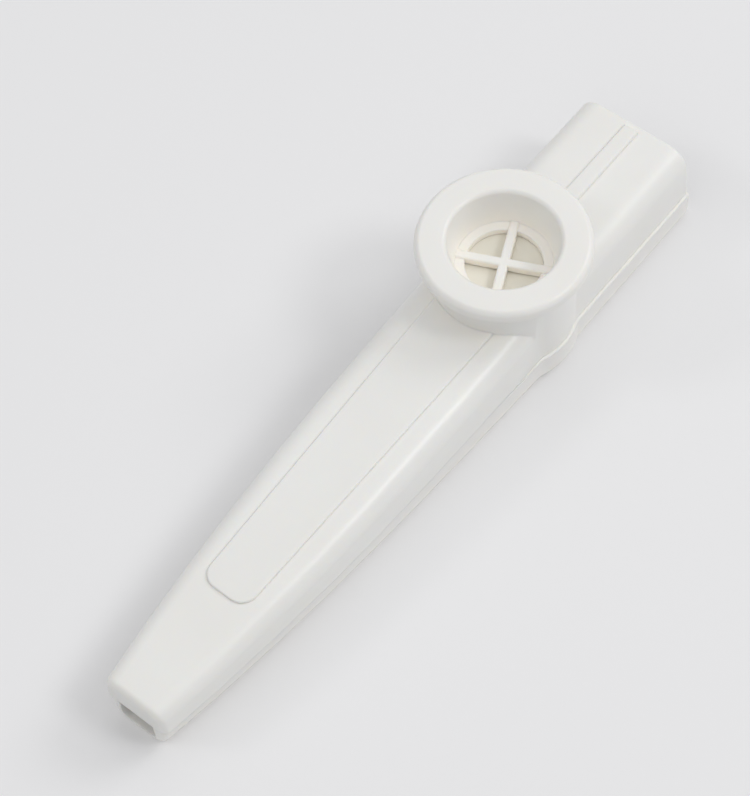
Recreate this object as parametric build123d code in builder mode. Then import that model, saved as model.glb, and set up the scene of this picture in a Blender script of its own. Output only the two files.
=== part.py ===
from build123d import *
import os
from math import atan2, cos, sin

# A moulded plastic kazoo: two half shells, a screw cap with a cross guard, and a buzzing film on its ring.
# Millimetres. +X runs from the narrow tip to the mouthpiece, +Z is up, and the part lies on its flat
# underside with the origin below the middle of its length.

os.makedirs("parts", exist_ok=True)

# Body, seen from above and from the side
total_length = 120.0
turret_from_tip = 86.0
tip_width = 11.3
body_width = 20.9
tip_height = 10.8
body_height = 15.0
seam_height = 5.5
side_lean = 0.65
tip_edge_radius = 2.5
body_edge_radius = 3.6
tip_keel_radius = 3.2
body_keel_radius = 1.8
keel_flat = 0.12
tip_rounding = 1.1
mouth_rounding = 0.4

# How the front half swells from the tip to its full width: by a power of the way still to go, in equal steps
growth_power = 2.65
front_steps = 8

# Shells and the lapped seam between them
wall = 1.5
keel_wall = 1.2
least_corner = 0.5
corner_limit_share = 0.9
tip_ledge = -0.7
body_ledge = 0.5
ledge_power = 3
lap_depth = 0.75
lap_height = 1.4
lap_clearance = 0.1

# Tip: its end wall, and the outlet notched into the lower half of it
tip_wall = 2.0
outlet_width = 6.4
outlet_corner = 1.4

# Raised panel on the front half's top, and the rib on the mouthpiece's top
panel_start = 19.9
panel_start_width = 8.4
panel_end_width = 11.4
panel_corner = 2.6
panel_rise = 0.4
panel_rounding = 0.2
rib_width = 2.6
rib_rise = 0.6
rib_rounding = 0.35
rib_end_gap = 1.2

# Screw cap, from its skirt out to the flange and in to the well
skirt_diameter = 19.2
skirt_wall = 0.95
skirt_lead_in = 0.4
well_taper = 1.2
well_mouth_easing = 0.45
floor_ledge = 1.5
floor_thickness = 1.1
flange_overhang = 2.1
flange_thickness = 2.4
flange_gap = 0.3
flange_top_easing = 0.7
flange_under_chamfer = 0.4
easing_share = 0.3
guard_bar_width = 1.45
guard_bar_rise = 0.25
guard_bar_chamfer = 0.2
guard_bar_seat = 0.4
guard_turn_degrees = 24.4

# Turret: a drum through both shells, and the collar that the cap screws into
cap_clearance = 0.35
collar_wall = 1.35
collar_height = 5.6
collar_chamfer = 0.3

# Film and the ring that carries it
ring_clearance = 0.75
ring_land = 2.8
ring_thickness = 0.8
film_margin = 0.6
film_thickness = 0.1
film_gap = 0.1

# How far every cut runs past what it cuts
overrun = 2.0

# Places and radii that follow from the sizes
tip_x = -total_length / 2
mouth_x = total_length / 2
turret_x = tip_x + turret_from_tip
turret_axis = Axis((turret_x, 0, 0), (0, 0, 1))
turret_plane = Plane(origin=(turret_x, 0, 0), x_dir=(1, 0, 0), z_dir=(0, -1, 0))
skirt_radius = skirt_diameter / 2
bore_radius = skirt_radius + cap_clearance
drum_radius = bore_radius + collar_wall
flange_radius = drum_radius + flange_overhang
well_mouth_radius = skirt_radius - skirt_wall
well_floor_radius = well_mouth_radius - well_taper
outlet_radius = well_floor_radius - floor_ledge
ring_outer_radius = bore_radius - ring_clearance
ring_inner_radius = ring_outer_radius - ring_land
film_radius = ring_outer_radius - film_margin
collar_top = body_height + collar_height
film_floor = body_height + ring_thickness
cap_floor = film_floor + film_thickness + film_gap
well_floor = cap_floor + floor_thickness
flange_under = collar_top + flange_gap
cap_top = flange_under + flange_thickness


# Stations from the tip, drawn in by an inset, to the turret. Each has its place, its half width at the seam,
# its height, its top edge and keel radii, and how far the lower half stands out at the seam.
def front_stations(tip_inset):
    stations = []
    for step in range(front_steps + 1):
        to_go = (1 - step / front_steps) * (1 - tip_inset / turret_from_tip)
        run = 1 - to_go
        growth = 1 - to_go**growth_power
        x = turret_x - to_go * turret_from_tip
        half_width = (tip_width + growth * (body_width - tip_width)) / 2
        height = tip_height + run * (body_height - tip_height)
        edge_radius = tip_edge_radius + growth * (body_edge_radius - tip_edge_radius)
        keel_radius = tip_keel_radius + growth * (body_keel_radius - tip_keel_radius)
        ledge = tip_ledge + run**ledge_power * (body_ledge - tip_ledge)
        stations.append((x, half_width, height, edge_radius, keel_radius, ledge))
    return stations


# A section's corner, tighter by the inset on an inner face and never wider than its half section allows
def corner_radius(radius, inset, half_width):
    return min(max(radius - inset, least_corner), corner_limit_share * half_width)


# One section of the upper half, drawn in all round by an inset: leaning sides and rounded top edges
def upper_section(station, inset):
    x, half_width, height, edge_radius, keel_radius, ledge = station
    lean_rate = side_lean / (body_height - seam_height)
    foot = seam_height - overrun
    top = height - inset
    foot_half = half_width - inset + lean_rate * overrun
    top_half = half_width - inset - lean_rate * (top - seam_height)
    with BuildSketch(Plane.YZ.offset(x)) as section:
        with BuildLine():
            Polyline((-foot_half, foot), (foot_half, foot), (top_half, top), (-top_half, top), close=True)
        make_face()
        fillet(section.vertices().group_by(Axis.Y)[-1], corner_radius(edge_radius, inset, top_half))
    return section.sketch


# One section of the lower half, from a floor up to a brim: upright sides and a rounded keel. The outside
# stands out from the upper half by the ledge, and an inside lines up with the upper half's.
def lower_section(station, inset, floor, brim):
    x, half_width, height, edge_radius, keel_radius, ledge = station
    half = half_width - inset if inset > 0 else half_width + ledge
    with BuildSketch(Plane.YZ.offset(x)) as section:
        with BuildLine():
            Polyline((-half, floor), (half, floor), (half, brim), (-half, brim), close=True)
        make_face()
        fillet(section.vertices().group_by(Axis.Y)[0], corner_radius(keel_radius, inset, half))
    return section.sketch


# The upper half's outside above the seam, drawn in by an inset and at the tip by another, with the turret's
# drum through it
def upper_hull(inset, tip_inset):
    sections = [upper_section(station, inset) for station in front_stations(tip_inset)]
    with BuildPart() as hull:
        loft(sections, ruled=True)
        extrude(sections[-1], amount=mouth_x - turret_x)
        with BuildSketch(Plane.XY.offset(seam_height)):
            with Locations((turret_x, 0)):
                Circle(drum_radius - inset)
        extrude(amount=body_height - inset - seam_height)
        split(bisect_by=Plane.XY.offset(seam_height), keep=Keep.TOP)
    return hull.part


# The lower half's trough from a floor up to a rim, drawn in at the sides by an inset and at the tip by one
# of its own
def trough(inset, tip_inset, floor, rim):
    sections = [lower_section(station, inset, floor, rim) for station in front_stations(tip_inset)]
    with BuildPart() as hull:
        loft(sections, ruled=True)
        extrude(sections[-1], amount=mouth_x - turret_x)
    return hull.part


# The part of the upper hull, drawn in by an inset, that stands no higher above the seam than the lap
def lap_hull(inset, height):
    with BuildPart() as lap:
        add(upper_hull(inset, inset))
        split(bisect_by=Plane.XY.offset(seam_height + height), keep=Keep.BOTTOM)
    return lap.part


# Raised panel: a low plate that lies along the front half's sloping top and ends under the turret's collar
slope = atan2(body_height - tip_height, turret_from_tip)
slope_run = turret_from_tip / cos(slope)
slope_along = (cos(slope), 0, sin(slope))
slope_up = (-sin(slope), 0, cos(slope))
slope_plane = Plane(origin=(tip_x, 0, tip_height), x_dir=slope_along, z_dir=slope_up)
with BuildPart() as panel:
    with BuildSketch(slope_plane.offset(-wall / 2)) as panel_outline:
        with BuildLine():
            Polyline(
                (panel_start, -panel_start_width / 2),
                (slope_run, -panel_end_width / 2),
                (slope_run, panel_end_width / 2),
                (panel_start, panel_start_width / 2),
                close=True,
            )
        make_face()
        fillet(panel_outline.vertices().group_by(Axis.X)[0], panel_corner)
    extrude(amount=wall / 2 + panel_rise)
    fillet(panel.faces().filter_by(slope_plane).sort_by(Axis.Z)[-1].edges(), panel_rounding)

# Rib: a low bar along the mouthpiece's top, from under the collar to just short of the end
with BuildPart() as rib:
    with BuildSketch(Plane.XY.offset(body_height - wall / 2)):
        with Locations((turret_x, 0)):
            Rectangle(mouth_x - turret_x - rib_end_gap, rib_width, align=(Align.MIN, Align.CENTER))
    extrude(amount=wall / 2 + rib_rise)
    fillet(rib.faces().sort_by(Axis.Z)[-1].edges(), rib_rounding)

# Upper shell: top half of the body with the panel, the rib, the turret's collar and the film's seat
with BuildPart() as upper_shell:
    add(upper_hull(0, 0))
    for end, rounding in ((0, tip_rounding), (-1, mouth_rounding)):
        end_edges = upper_shell.faces().sort_by(Axis.X)[end].edges()
        fillet(end_edges.filter_by(lambda edge: edge.center().Z > seam_height + rounding), rounding)
    add(panel.part)
    add(rib.part)
    with BuildSketch(Plane.XY.offset(seam_height)):
        with Locations((turret_x, 0)):
            Circle(drum_radius)
    extrude(amount=collar_top - seam_height)
    chamfer(upper_shell.edges().group_by(Axis.Z)[-1], collar_chamfer)
    add(upper_hull(wall, tip_wall), mode=Mode.SUBTRACT)
    add(lap_hull(lap_depth, lap_height), mode=Mode.SUBTRACT)
    with BuildSketch(Plane.XY.offset(body_height)):
        with Locations((turret_x, 0)):
            Circle(bore_radius)
    extrude(amount=collar_height + overrun, mode=Mode.SUBTRACT)
    with Locations((turret_x, 0, body_height)):
        Hole(ring_inner_radius, wall + overrun)
upper_shell.part.label = "upper_shell"
export_step(upper_shell.part, "parts/upper_shell.step")

# Drum foot: the round part of the keel under the turret, which stands out a little from the sides
with BuildPart() as drum_foot:
    with BuildSketch(turret_plane) as foot_section:
        with Locations((0, -keel_flat)):
            Rectangle(drum_radius + body_ledge, seam_height + keel_flat, align=(Align.MIN, Align.MIN))
        fillet(foot_section.vertices().sort_by_distance((drum_radius, -keel_flat))[0], body_keel_radius)
    revolve(axis=turret_axis)

# Lower shell: bottom half of the body, wider at the seam but for the tip, with a lip that laps into the
# upper half, and the outlet notched into the tip
lip_top = seam_height + lap_height
with BuildPart() as lower_shell:
    add(trough(0, 0, -keel_flat, seam_height))
    for end, rounding in ((0, tip_rounding), (-1, mouth_rounding)):
        end_edges = lower_shell.faces().sort_by(Axis.X)[end].edges()
        fillet(end_edges.filter_by(lambda edge: edge.center().Z < seam_height - rounding), rounding)
    add(drum_foot.part)
    add(lap_hull(lap_depth + lap_clearance, lap_height - lap_clearance))
    add(trough(wall, tip_wall, keel_wall, lip_top), mode=Mode.SUBTRACT)
    with BuildSketch(Plane.YZ.offset(tip_x - overrun)) as outlet:
        with Locations((0, keel_wall)):
            Rectangle(outlet_width, lip_top - keel_wall, align=(Align.CENTER, Align.MIN))
        fillet(outlet.vertices().group_by(Axis.Y)[0], outlet_corner)
    extrude(amount=tip_wall + 2 * overrun, mode=Mode.SUBTRACT)
    split(bisect_by=Plane.XY, keep=Keep.TOP)
lower_shell.part.label = "lower_shell"
export_step(lower_shell.part, "parts/lower_shell.step")

# Membrane ring: flat washer that lies on the seat in the collar and carries the film
with BuildPart() as membrane_ring:
    with BuildSketch(Plane.XY.offset(body_height)):
        with Locations((turret_x, 0)):
            Circle(ring_outer_radius)
            Circle(ring_inner_radius, mode=Mode.SUBTRACT)
    extrude(amount=ring_thickness)
membrane_ring.part.label = "membrane_ring"
export_step(membrane_ring.part, "parts/membrane_ring.step")

# Membrane film: thin disc stretched over the ring, which buzzes when the player hums
with BuildPart() as membrane_film:
    with BuildSketch(Plane.XY.offset(film_floor)):
        with Locations((turret_x, 0)):
            Circle(film_radius)
    extrude(amount=film_thickness)
membrane_film.part.label = "membrane_film"
export_step(membrane_film.part, "parts/membrane_film.step")

# Cross guard: two bars across the bottom of the cap's well, whose ends run into its wall
with BuildPart() as cross_guard:
    with BuildSketch(Plane.XY.offset(cap_floor)):
        with Locations((turret_x, 0)):
            for turn in (guard_turn_degrees, guard_turn_degrees + 90):
                Rectangle(2 * (well_floor_radius + guard_bar_seat), guard_bar_width, rotation=turn)
    extrude(amount=floor_thickness + guard_bar_rise)
    chamfer(cross_guard.faces().sort_by(Axis.Z)[-1].edges(), guard_bar_chamfer)


# Eases a corner of a section by three flats, close to a rounding
def ease_corner(section, corner, size):
    chamfer(section.vertices().sort_by_distance(corner)[0], size)
    chamfer(section.vertices().sort_by_distance(corner)[:2], easing_share * size)


# Screw cap: wide flange to grip, a skirt that screws into the collar, a tapered well and a cross guard
with BuildPart() as screw_cap:
    with BuildSketch(turret_plane) as cap_section:
        with BuildLine():
            Polyline(
                (outlet_radius, cap_floor),
                (skirt_radius, cap_floor),
                (skirt_radius, flange_under),
                (flange_radius, flange_under),
                (flange_radius, cap_top),
                (well_mouth_radius, cap_top),
                (well_floor_radius, well_floor),
                (outlet_radius, well_floor),
                close=True,
            )
        make_face()
        chamfer(cap_section.vertices().sort_by_distance((skirt_radius, cap_floor))[0], skirt_lead_in)
        rim_foot = cap_section.vertices().sort_by_distance((flange_radius, flange_under))[0]
        chamfer(rim_foot, flange_under_chamfer)
        ease_corner(cap_section, (flange_radius, cap_top), flange_top_easing)
        ease_corner(cap_section, (well_mouth_radius, cap_top), well_mouth_easing)
    revolve(axis=turret_axis)
    add(cross_guard.part)
screw_cap.part.label = "screw_cap"
export_step(screw_cap.part, "parts/screw_cap.step")
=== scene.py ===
import bmesh
import bpy
import math
from mathutils import Matrix, Vector


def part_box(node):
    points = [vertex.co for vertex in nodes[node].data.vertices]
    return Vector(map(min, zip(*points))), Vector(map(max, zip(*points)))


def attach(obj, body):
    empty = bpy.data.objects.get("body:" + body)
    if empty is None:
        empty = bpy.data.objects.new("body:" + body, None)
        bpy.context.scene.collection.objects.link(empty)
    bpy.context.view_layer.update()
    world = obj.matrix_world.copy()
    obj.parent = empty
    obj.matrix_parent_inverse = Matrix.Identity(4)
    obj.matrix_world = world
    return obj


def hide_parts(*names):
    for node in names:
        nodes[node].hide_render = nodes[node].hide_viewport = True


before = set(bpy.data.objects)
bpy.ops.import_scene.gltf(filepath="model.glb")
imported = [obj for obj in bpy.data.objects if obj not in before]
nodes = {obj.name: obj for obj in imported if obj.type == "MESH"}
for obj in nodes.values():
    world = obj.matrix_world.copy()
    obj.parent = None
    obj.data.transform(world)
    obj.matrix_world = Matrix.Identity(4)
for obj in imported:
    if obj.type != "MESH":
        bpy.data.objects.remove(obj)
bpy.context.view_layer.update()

# Lower shell: the bottom half of the body, injection moulded in warm white polystyrene.
# It lies on its flat keel and its lip laps up into the other half, where the two are glued.
MM = 0.001


# A shader group for glossy moulded plastic: slow mottling of the colour, painted light and shade in the
# hollows (a warmer tone that stands in for light bounced through the plastic), a fine orange peel from the
# mould, edges a little paler and duller, partly rubbed wear and partly a painted highlight, and faint
# scuffs that dull the gloss. The noises are given in waves per metre.
def moulded_plastic_group():
    group = bpy.data.node_groups.new("moulded_plastic", "ShaderNodeTree")
    taken_sockets = {
        "Plastic": "NodeSocketColor",
        "Thin Plastic": "NodeSocketColor",
        "Painted Hollow Shading": "NodeSocketColor",
        "Rubbed And Highlit Plastic": "NodeSocketColor",
        "Gloss": "NodeSocketFloat",
        "Edge Width": "NodeSocketFloat",
    }
    given_sockets = {
        "Color": "NodeSocketColor",
        "Roughness": "NodeSocketFloat",
        "Height": "NodeSocketFloat",
    }
    for name, kind in taken_sockets.items():
        group.interface.new_socket(name, in_out="INPUT", socket_type=kind)
    for name, kind in given_sockets.items():
        group.interface.new_socket(name, in_out="OUTPUT", socket_type=kind)
    make, link = group.nodes.new, group.links.new
    taken = make("NodeGroupInput")
    given = make("NodeGroupOutput")
    place = make("ShaderNodeTexCoord")

    # Mottling a couple of centimetres across, as the melt cools unevenly
    mottle_waves = 62
    mottle_low = 0.35
    mottle_high = 0.65
    mottle = make("ShaderNodeTexNoise")
    mottle.inputs["Scale"].default_value = mottle_waves
    mottle.inputs["Detail"].default_value = 3
    link(place.outputs["Object"], mottle.inputs["Vector"])
    spread = make("ShaderNodeMapRange")
    spread.inputs["From Min"].default_value = mottle_low
    spread.inputs["From Max"].default_value = mottle_high
    link(mottle.outputs["Fac"], spread.inputs["Value"])
    melt = make("ShaderNodeMix")
    melt.data_type = "RGBA"
    link(spread.outputs["Result"], melt.inputs["Factor"])
    link(taken.outputs["Plastic"], melt.inputs["A"])
    link(taken.outputs["Thin Plastic"], melt.inputs["B"])

    # Painted light and shade in the hollows: a warmer tone where the occlusion is deep, standing in for
    # light that has passed through and bounced off the plastic many times
    shelter_reach = 6 * MM
    shelter_tries = 8
    open_share = 0.9
    hollow_share = 0.45
    shelter = make("ShaderNodeAmbientOcclusion")
    shelter.samples = shelter_tries
    shelter.inputs["Distance"].default_value = shelter_reach
    depth = make("ShaderNodeMapRange")
    depth.inputs["From Min"].default_value = open_share
    depth.inputs["From Max"].default_value = hollow_share
    link(shelter.outputs["AO"], depth.inputs["Value"])
    painted_hollow_shading_mix = make("ShaderNodeMix")
    painted_hollow_shading_mix.data_type = "RGBA"
    link(depth.outputs["Result"], painted_hollow_shading_mix.inputs["Factor"])
    link(melt.outputs["Result"], painted_hollow_shading_mix.inputs["A"])
    link(taken.outputs["Painted Hollow Shading"], painted_hollow_shading_mix.inputs["B"])

    # Edges show where a rounded normal leaves the true one, broken up by a fine noise; the paler colour
    # there is partly rubbed wear and partly a painted highlight
    flat_agreement = 0.995
    edge_agreement = 0.90
    chafe_waves = 420
    rounded = make("ShaderNodeBevel")
    link(taken.outputs["Edge Width"], rounded.inputs["Radius"])
    surface = make("ShaderNodeNewGeometry")
    agreement = make("ShaderNodeVectorMath")
    agreement.operation = "DOT_PRODUCT"
    link(rounded.outputs["Normal"], agreement.inputs[0])
    link(surface.outputs["Normal"], agreement.inputs[1])
    edge = make("ShaderNodeMapRange")
    edge.inputs["From Min"].default_value = flat_agreement
    edge.inputs["From Max"].default_value = edge_agreement
    link(agreement.outputs["Value"], edge.inputs["Value"])
    chafe = make("ShaderNodeTexNoise")
    chafe.inputs["Scale"].default_value = chafe_waves
    chafe.inputs["Detail"].default_value = 3
    link(place.outputs["Object"], chafe.inputs["Vector"])
    wear_and_highlight = make("ShaderNodeMath")
    wear_and_highlight.operation = "MULTIPLY"
    link(edge.outputs["Result"], wear_and_highlight.inputs[0])
    link(chafe.outputs["Fac"], wear_and_highlight.inputs[1])
    colour = make("ShaderNodeMix")
    colour.data_type = "RGBA"
    link(wear_and_highlight.outputs["Value"], colour.inputs["Factor"])
    link(painted_hollow_shading_mix.outputs["Result"], colour.inputs["A"])
    link(taken.outputs["Rubbed And Highlit Plastic"], colour.inputs["B"])
    link(colour.outputs["Result"], given.inputs["Color"])

    # Scuffs in short lines that run mostly along the body, and the dulling of the gloss by them and by wear
    scuff_waves = (160, 2600, 2600)
    scuff_slant = math.radians(9)
    scuff_start = 0.5
    scuff_full = 0.8
    scuff_dulling = 0.035
    wear_dulling = 0.12
    stretch = make("ShaderNodeMapping")
    stretch.inputs["Scale"].default_value = scuff_waves
    stretch.inputs["Rotation"].default_value = (0, 0, scuff_slant)
    link(place.outputs["Object"], stretch.inputs["Vector"])
    hairline = make("ShaderNodeTexNoise")
    hairline.inputs["Scale"].default_value = 1
    hairline.inputs["Detail"].default_value = 4
    link(stretch.outputs["Vector"], hairline.inputs["Vector"])
    scuff = make("ShaderNodeMapRange")
    scuff.inputs["From Min"].default_value = scuff_start
    scuff.inputs["From Max"].default_value = scuff_full
    scuff.inputs["To Max"].default_value = scuff_dulling
    link(hairline.outputs["Fac"], scuff.inputs["Value"])
    scuffed = make("ShaderNodeMath")
    scuffed.operation = "ADD"
    link(taken.outputs["Gloss"], scuffed.inputs[0])
    link(scuff.outputs["Result"], scuffed.inputs[1])
    dulled = make("ShaderNodeMath")
    dulled.operation = "MULTIPLY_ADD"
    dulled.inputs[1].default_value = wear_dulling
    link(wear_and_highlight.outputs["Value"], dulled.inputs[0])
    link(scuffed.outputs["Value"], dulled.inputs[2])
    link(dulled.outputs["Value"], given.inputs["Roughness"])

    # Orange peel about a millimetre across
    peel_waves = 1100
    peel = make("ShaderNodeTexNoise")
    peel.inputs["Scale"].default_value = peel_waves
    peel.inputs["Detail"].default_value = 2
    link(place.outputs["Object"], peel.inputs["Vector"])
    link(peel.outputs["Fac"], given.inputs["Height"])
    return group


moulded_plastic = moulded_plastic_group()
peel_strength = 0.04
peel_height = 0.05 * MM
plastic_ior = 1.5
glow_spread = (1.0, 0.75, 0.45)


# A material of that plastic, with edges that read as softly rounded and light that passes under the skin
def plastic_material(
    name, plastic, thin_plastic, painted_hollow_shading, rubbed_and_highlit_plastic, gloss, edge_radius, glow, glow_depth
):
    material = bpy.data.materials.new(name)
    material.use_nodes = True
    make, link = material.node_tree.nodes.new, material.node_tree.links.new
    shader = material.node_tree.nodes["Principled BSDF"]
    skin = make("ShaderNodeGroup")
    skin.node_tree = moulded_plastic
    skin.inputs["Plastic"].default_value = (*plastic, 1)
    skin.inputs["Thin Plastic"].default_value = (*thin_plastic, 1)
    # The hollow colour is painted light and shade in the hollows, and the rubbed colour is partly edge wear
    # and partly a painted highlight
    skin.inputs["Painted Hollow Shading"].default_value = (*painted_hollow_shading, 1)
    skin.inputs["Rubbed And Highlit Plastic"].default_value = (*rubbed_and_highlit_plastic, 1)
    skin.inputs["Gloss"].default_value = gloss
    skin.inputs["Edge Width"].default_value = edge_radius
    link(skin.outputs["Color"], shader.inputs["Base Color"])
    link(skin.outputs["Roughness"], shader.inputs["Roughness"])
    soft_edge = make("ShaderNodeBevel")
    soft_edge.inputs["Radius"].default_value = edge_radius
    peel = make("ShaderNodeBump")
    peel.inputs["Strength"].default_value = peel_strength
    peel.inputs["Distance"].default_value = peel_height
    link(skin.outputs["Height"], peel.inputs["Height"])
    link(soft_edge.outputs["Normal"], peel.inputs["Normal"])
    link(peel.outputs["Normal"], shader.inputs["Normal"])
    shader.inputs["IOR"].default_value = plastic_ior
    shader.inputs["Subsurface Weight"].default_value = glow
    shader.inputs["Subsurface Radius"].default_value = glow_spread
    shader.inputs["Subsurface Scale"].default_value = glow_depth
    return material


weld_distance = 0.002 * MM
crease_angle = math.radians(33)


# A modifier that welds a solid's facets and shades it smooth across every edge flatter than a crease angle
def even_shading_group():
    group = bpy.data.node_groups.new("even_shading", "GeometryNodeTree")
    group.is_modifier = True
    group.interface.new_socket("Geometry", in_out="INPUT", socket_type="NodeSocketGeometry")
    group.interface.new_socket("Geometry", in_out="OUTPUT", socket_type="NodeSocketGeometry")
    make, link = group.nodes.new, group.links.new
    taken = make("NodeGroupInput")
    given = make("NodeGroupOutput")
    weld = make("GeometryNodeMergeByDistance")
    weld.inputs["Distance"].default_value = weld_distance
    unshaded = make("GeometryNodeRemoveAttribute")
    unshaded.inputs["Name"].default_value = "custom_normal"
    smooth = make("GeometryNodeSetShadeSmooth")
    bend = make("GeometryNodeInputMeshEdgeAngle")
    gentle = make("FunctionNodeCompare")
    gentle.operation = "LESS_THAN"
    gentle.inputs["B"].default_value = crease_angle
    creased = make("GeometryNodeSetShadeSmooth")
    creased.domain = "EDGE"
    link(taken.outputs["Geometry"], weld.inputs["Geometry"])
    link(weld.outputs["Geometry"], unshaded.inputs["Geometry"])
    link(unshaded.outputs["Geometry"], smooth.inputs["Geometry"])
    link(smooth.outputs["Geometry"], creased.inputs["Geometry"])
    link(bend.outputs["Unsigned Angle"], gentle.inputs["A"])
    link(gentle.outputs["Result"], creased.inputs["Shade Smooth"])
    link(creased.outputs["Geometry"], given.inputs["Geometry"])
    return group


even_shading = even_shading_group()


# Paints a piece with a material and evens its shading, large faces first
def finish_piece(piece, material):
    piece.data.materials.clear()
    piece.data.materials.append(material)
    shading = piece.modifiers.new("even_shading", "NODES")
    shading.node_group = even_shading
    weighted = piece.modifiers.new("large_faces_first", "WEIGHTED_NORMAL")
    weighted.keep_sharp = True


# The hollow colour is painted light, lighter and warmer than the plastic, for light bounced through it in
# the hollows; the rubbed colour is partly edge wear and partly a painted highlight.
warm_white = (0.855, 0.855, 0.835)
thin_white = (0.84, 0.835, 0.81)
painted_hollow_shading_white = (0.955, 0.935, 0.885)
rubbed_and_highlit_white = (0.95, 0.95, 0.94)
body_plastic = plastic_material(
    "body_plastic", warm_white, thin_white, painted_hollow_shading_white, rubbed_and_highlit_white,
    gloss=0.29, edge_radius=0.4 * MM, glow=0.2, glow_depth=0.8 * MM,
)
finish_piece(nodes["lower_shell"], body_plastic)

# Upper shell: the top half of the body, moulded in one piece with the panel, the rib and the turret's
# collar. The collar is threaded inside for the cap, and its floor is the seat that the film's ring lies on.
finish_piece(nodes["upper_shell"], body_plastic)
turret_middle = (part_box("screw_cap")[0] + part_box("screw_cap")[1]) / 2
thread_pitch = 2.0 * MM
thread_base = 0.9 * MM
thread_crest = 0.3 * MM
thread_root = 0.08 * MM
thread_run_out_turns = 0.2
thread_steps = 56


# A right-hand thread: a ridge with a flat crest that climbs round a wall, rooted in it, and that runs out
# at its ends
def thread_ridge(name, wall_radius, crest_radius, low, turns):
    out = math.copysign(1, crest_radius - wall_radius)
    run_out = thread_run_out_turns / turns
    steps = round(turns * thread_steps)
    mesh = bpy.data.meshes.new(name)
    shape = bmesh.new()
    sections = []
    for step in range(steps + 1):
        share = step / steps
        full = min(1, share / run_out, (1 - share) / run_out)
        angle = math.tau * turns * share
        height = low + thread_pitch * turns * share
        crest = wall_radius + (crest_radius - wall_radius) * full
        outline = (
            (wall_radius - out * thread_root, -thread_base / 2),
            (crest, -thread_crest / 2),
            (crest, thread_crest / 2),
            (wall_radius - out * thread_root, thread_base / 2),
        )
        around = Vector((math.cos(angle), math.sin(angle), 0))
        middle = Vector((turret_middle.x, turret_middle.y, height))
        corners = [middle + around * radius + Vector((0, 0, rise)) for radius, rise in outline]
        sections.append([shape.verts.new(corner) for corner in corners])
    corner_count = len(sections[0])
    for before, after in zip(sections, sections[1:]):
        for corner in range(corner_count):
            following = (corner + 1) % corner_count
            shape.faces.new((before[corner], before[following], after[following], after[corner]))
    shape.faces.new(sections[0])
    shape.faces.new(sections[-1])
    bmesh.ops.recalc_face_normals(shape, faces=shape.faces)
    shape.to_mesh(mesh)
    shape.free()
    ridge = bpy.data.objects.new(name, mesh)
    bpy.context.scene.collection.objects.link(ridge)
    return ridge


collar_bore = 9.95 * MM
collar_thread_crest = 9.70 * MM
collar_thread_low = 17.9 * MM
collar_thread_turns = 0.95
collar_thread = thread_ridge(
    "collar_thread", collar_bore, collar_thread_crest, collar_thread_low, collar_thread_turns
)
finish_piece(collar_thread, body_plastic)
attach(collar_thread, "body")

# Membrane ring: a flat washer stamped from pale card-like plastic, which keeps the film stretched.
# It lies loose on the seat and is pressed there by the cap.
card_white = (0.76, 0.74, 0.67)
thin_card = (0.73, 0.71, 0.63)
# The hollow colour is painted shade, a little darker and warmer in the hollows; the rubbed colour is partly
# edge wear and partly a painted highlight.
painted_hollow_shading_card = (0.74, 0.71, 0.62)
rubbed_and_highlit_card = (0.80, 0.79, 0.74)
ring_plastic = plastic_material(
    "ring_plastic", card_white, thin_card, painted_hollow_shading_card, rubbed_and_highlit_card,
    gloss=0.5, edge_radius=0.08 * MM, glow=0.2, glow_depth=1.0 * MM,
)
finish_piece(nodes["membrane_ring"], ring_plastic)

# Membrane film: a thin disc of waxy beige film glued over the ring, which buzzes when the player hums.
# It is stretched, dips a little inside the ring, and is puckered by the glue at the ring's inner edge.
film_low, film_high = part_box("membrane_film")
film_radius = (film_high.x - film_low.x) / 2
ring_opening = 6.4 * MM
film_dip = 0.22 * MM
pucker_depth = 0.035 * MM
pucker_count = 22
pucker_width = 1.4 * MM
pucker_end = 1.0 * MM
pucker_sway = 1.7
sway_count = 3
film_rings = 18
film_spokes = 110


# The film's height over its flat place, at a radius and an angle
def film_rise(radius, angle):
    inside = max(0.0, 1 - (radius / ring_opening) ** 2)
    pucker_band = math.exp(-(((radius - ring_opening) / pucker_width) ** 2))
    sway = pucker_sway * math.sin(sway_count * angle)
    pucker = 0.5 * (1 + math.sin(pucker_count * angle + sway))
    if radius > ring_opening:
        pucker_band *= max(0.0, 1 - (radius - ring_opening) / pucker_end)
    return pucker_depth * pucker_band * pucker - film_dip * inside


film_mesh = bpy.data.meshes.new("wrinkled_film")
shape = bmesh.new()
film_middle = Vector((turret_middle.x, turret_middle.y, 0))
sheets = []
for base in (film_low.z, film_high.z):
    rows = []
    for ring in range(1, film_rings + 1):
        radius = film_radius * ring / film_rings
        row = []
        for spoke in range(film_spokes):
            angle = math.tau * spoke / film_spokes
            height = base + film_rise(radius, angle)
            place = Vector((radius * math.cos(angle), radius * math.sin(angle), height))
            row.append(shape.verts.new(film_middle + place))
        rows.append(row)
    hub = shape.verts.new(film_middle + Vector((0, 0, base + film_rise(0, 0))))
    for spoke in range(film_spokes):
        following = (spoke + 1) % film_spokes
        shape.faces.new((hub, rows[0][spoke], rows[0][following]))
        for inner, outer in zip(rows, rows[1:]):
            shape.faces.new((inner[spoke], outer[spoke], outer[following], inner[following]))
    sheets.append(rows[-1])
for spoke in range(film_spokes):
    following = (spoke + 1) % film_spokes
    shape.faces.new((sheets[0][spoke], sheets[0][following], sheets[1][following], sheets[1][spoke]))
bmesh.ops.recalc_face_normals(shape, faces=shape.faces)
shape.to_mesh(film_mesh)
shape.free()
film = bpy.data.objects.new("wrinkled_film", film_mesh)
bpy.context.scene.collection.objects.link(film)
waxy_beige = (0.85, 0.82, 0.715)
thin_beige = (0.82, 0.79, 0.675)
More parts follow.
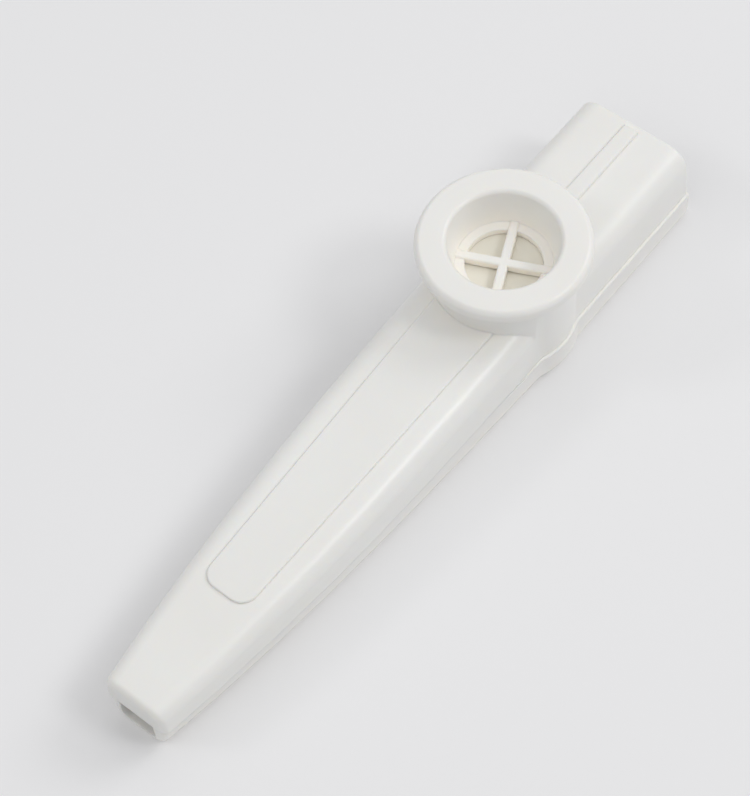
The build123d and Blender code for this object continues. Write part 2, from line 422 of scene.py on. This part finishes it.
# The hollow colour is painted light, a little lighter and warmer in the hollows; the rubbed colour is
# partly edge wear and partly a painted highlight.
painted_hollow_shading_beige = (0.87, 0.83, 0.72)
rubbed_and_highlit_beige = (0.88, 0.86, 0.78)
film_material = plastic_material(
    "film", waxy_beige, thin_beige, painted_hollow_shading_beige, rubbed_and_highlit_beige,
    gloss=0.34, edge_radius=0.03 * MM, glow=0.1, glow_depth=1.0 * MM,
)
finish_piece(film, film_material)
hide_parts("membrane_film")
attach(film, "membrane")

# Screw cap: flange, skirt, well and cross guard, moulded in one piece in the same plastic as the body.
# The skirt is threaded and screws down into the collar, which clamps the film's ring.
cap_white = (0.87, 0.865, 0.84)
thin_cap_white = (0.86, 0.85, 0.82)
# The hollow colour is painted light, lighter and warmer than the cap, for bounced light in the well and the
# other hollows.
painted_hollow_shading_cap_white = (0.985, 0.94, 0.865)
cap_plastic = plastic_material(
    "cap_plastic", cap_white, thin_cap_white, painted_hollow_shading_cap_white, rubbed_and_highlit_white,
    gloss=0.29, edge_radius=0.3 * MM, glow=0.2, glow_depth=0.8 * MM,
)
finish_piece(nodes["screw_cap"], cap_plastic)
skirt_radius = 9.6 * MM
cap_thread_crest = 9.85 * MM
cap_thread_low = collar_thread_low - thread_pitch / 2
cap_thread_turns = 1.7
cap_thread = thread_ridge("cap_thread", skirt_radius, cap_thread_crest, cap_thread_low, cap_thread_turns)
finish_piece(cap_thread, cap_plastic)
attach(cap_thread, "cap")

# Floor: a plain pale table top with a dull finish, wide enough to reach past every view.
# It lies a hundredth of a millimetre under the keel, so that the two faces don't fall together.
floor_half = 4.0
floor_top = -0.01 * MM
floor_colour = (0.83, 0.83, 0.84)
floor_roughness = 0.6
floor_shine = 0.2
floor_mesh = bpy.data.meshes.new("floor")
floor_corners = [
    (-floor_half, -floor_half, floor_top),
    (floor_half, -floor_half, floor_top),
    (floor_half, floor_half, floor_top),
    (-floor_half, floor_half, floor_top),
]
floor_mesh.from_pydata(floor_corners, [], [(0, 1, 2, 3)])
floor = bpy.data.objects.new("floor", floor_mesh)
bpy.context.scene.collection.objects.link(floor)
floor_material = bpy.data.materials.new("floor")
floor_material.use_nodes = True
floor_shader = floor_material.node_tree.nodes["Principled BSDF"]
floor_shader.inputs["Base Color"].default_value = (*floor_colour, 1)
floor_shader.inputs["Roughness"].default_value = floor_roughness
floor_shader.inputs["Specular IOR Level"].default_value = floor_shine
floor_mesh.materials.append(floor_material)

# Light: a room with a bright ceiling and duller walls, soft lamps on the right and behind the mouthpiece,
# and a weaker one on the left. The room looks evenly pale to the camera and in reflections.
horizon_light = 0.15
ceiling_light = 0.96
room_colour = (1.0, 1.0, 1.0)
backdrop_colour = (0.60, 0.60, 0.61)
world = bpy.data.worlds.new("room")
bpy.context.scene.world = world
world.use_nodes = True
make, link = world.node_tree.nodes.new, world.node_tree.links.new
room = world.node_tree.nodes["Background"]
room.inputs["Color"].default_value = (*room_colour, 1)
direction = make("ShaderNodeTexCoord")
split = make("ShaderNodeSeparateXYZ")
link(direction.outputs["Generated"], split.inputs["Vector"])
height_light = make("ShaderNodeMapRange")
height_light.inputs["To Min"].default_value = horizon_light
height_light.inputs["To Max"].default_value = ceiling_light
link(split.outputs["Z"], height_light.inputs["Value"])
link(height_light.outputs["Result"], room.inputs["Strength"])
backdrop = make("ShaderNodeBackground")
backdrop.inputs["Color"].default_value = (*backdrop_colour, 1)
seen = make("ShaderNodeLightPath")
either = make("ShaderNodeMixShader")
mirrored = make("ShaderNodeMath")
mirrored.operation = "MAXIMUM"
link(seen.outputs["Is Glossy Ray"], mirrored.inputs[0])
link(seen.outputs["Is Transmission Ray"], mirrored.inputs[1])
looked_at = make("ShaderNodeMath")
looked_at.operation = "MAXIMUM"
link(seen.outputs["Is Camera Ray"], looked_at.inputs[0])
link(mirrored.outputs["Value"], looked_at.inputs[1])
link(looked_at.outputs["Value"], either.inputs["Fac"])
link(room.outputs["Background"], either.inputs[1])
link(backdrop.outputs["Background"], either.inputs[2])
link(either.outputs["Shader"], world.node_tree.nodes["World Output"].inputs["Surface"])
lamp_aim = Vector((0.0, 0.0, 0.008))
lamp_distance = 1.8


# A round lamp that looks at the part from a compass direction and a height angle
def soft_lamp(name, compass, elevation_degrees, size, power):
    lamp_data = bpy.data.lights.new(name, "AREA")
    lamp_data.shape = "DISK"
    lamp_data.size = size
    lamp_data.energy = power
    lamp = bpy.data.objects.new(name, lamp_data)
    bpy.context.scene.collection.objects.link(lamp)
    elevation = math.radians(elevation_degrees)
    along = Vector((*compass, 0)).normalized() * math.cos(elevation)
    way = along + Vector((0, 0, math.sin(elevation)))
    lamp.location = lamp_aim + way * lamp_distance
    lamp.rotation_mode = "QUATERNION"
    lamp.rotation_quaternion = (-way).to_track_quat("-Z", "Y")


soft_lamp("right_lamp", (0.42, -0.91), elevation_degrees=48, size=0.52, power=4.4)
soft_lamp("rear_lamp", (0.9, -0.44), elevation_degrees=36, size=0.84, power=6.0)
soft_lamp("left_lamp", (-0.65, 0.76), elevation_degrees=40, size=0.4, power=2.0)

# Camera: above the narrow tip, looking along the body, tilted a little.
# Its focal length is given in pixels of a frame of 750 by 796, whose long side the sensor's width spans.
frame_long_side = 796
focal_pixels = 2400
sensor_width = 36
nearest_seen = 0.01
camera_place = Vector((-132.62, -122.83, 318.1)) * MM
camera_yaw = math.radians(46.13)
camera_pitch = math.radians(59.37)
camera_roll = math.radians(-5.90)
camera_data = bpy.data.cameras.new("camera")
camera_data.sensor_width = sensor_width
camera_data.lens = focal_pixels / frame_long_side * sensor_width
camera_data.clip_start = nearest_seen
camera = bpy.data.objects.new("camera", camera_data)
bpy.context.scene.collection.objects.link(camera)
turn = Matrix.Rotation(-camera_yaw, 4, "Z")
tilt = Matrix.Rotation(math.pi / 2 - camera_pitch, 4, "X")
roll = Matrix.Rotation(camera_roll, 4, "Z")
camera.matrix_world = Matrix.Translation(camera_place) @ turn @ tilt @ roll
bpy.context.scene.camera = camera
bpy.context.scene.view_settings.view_transform = "Standard"
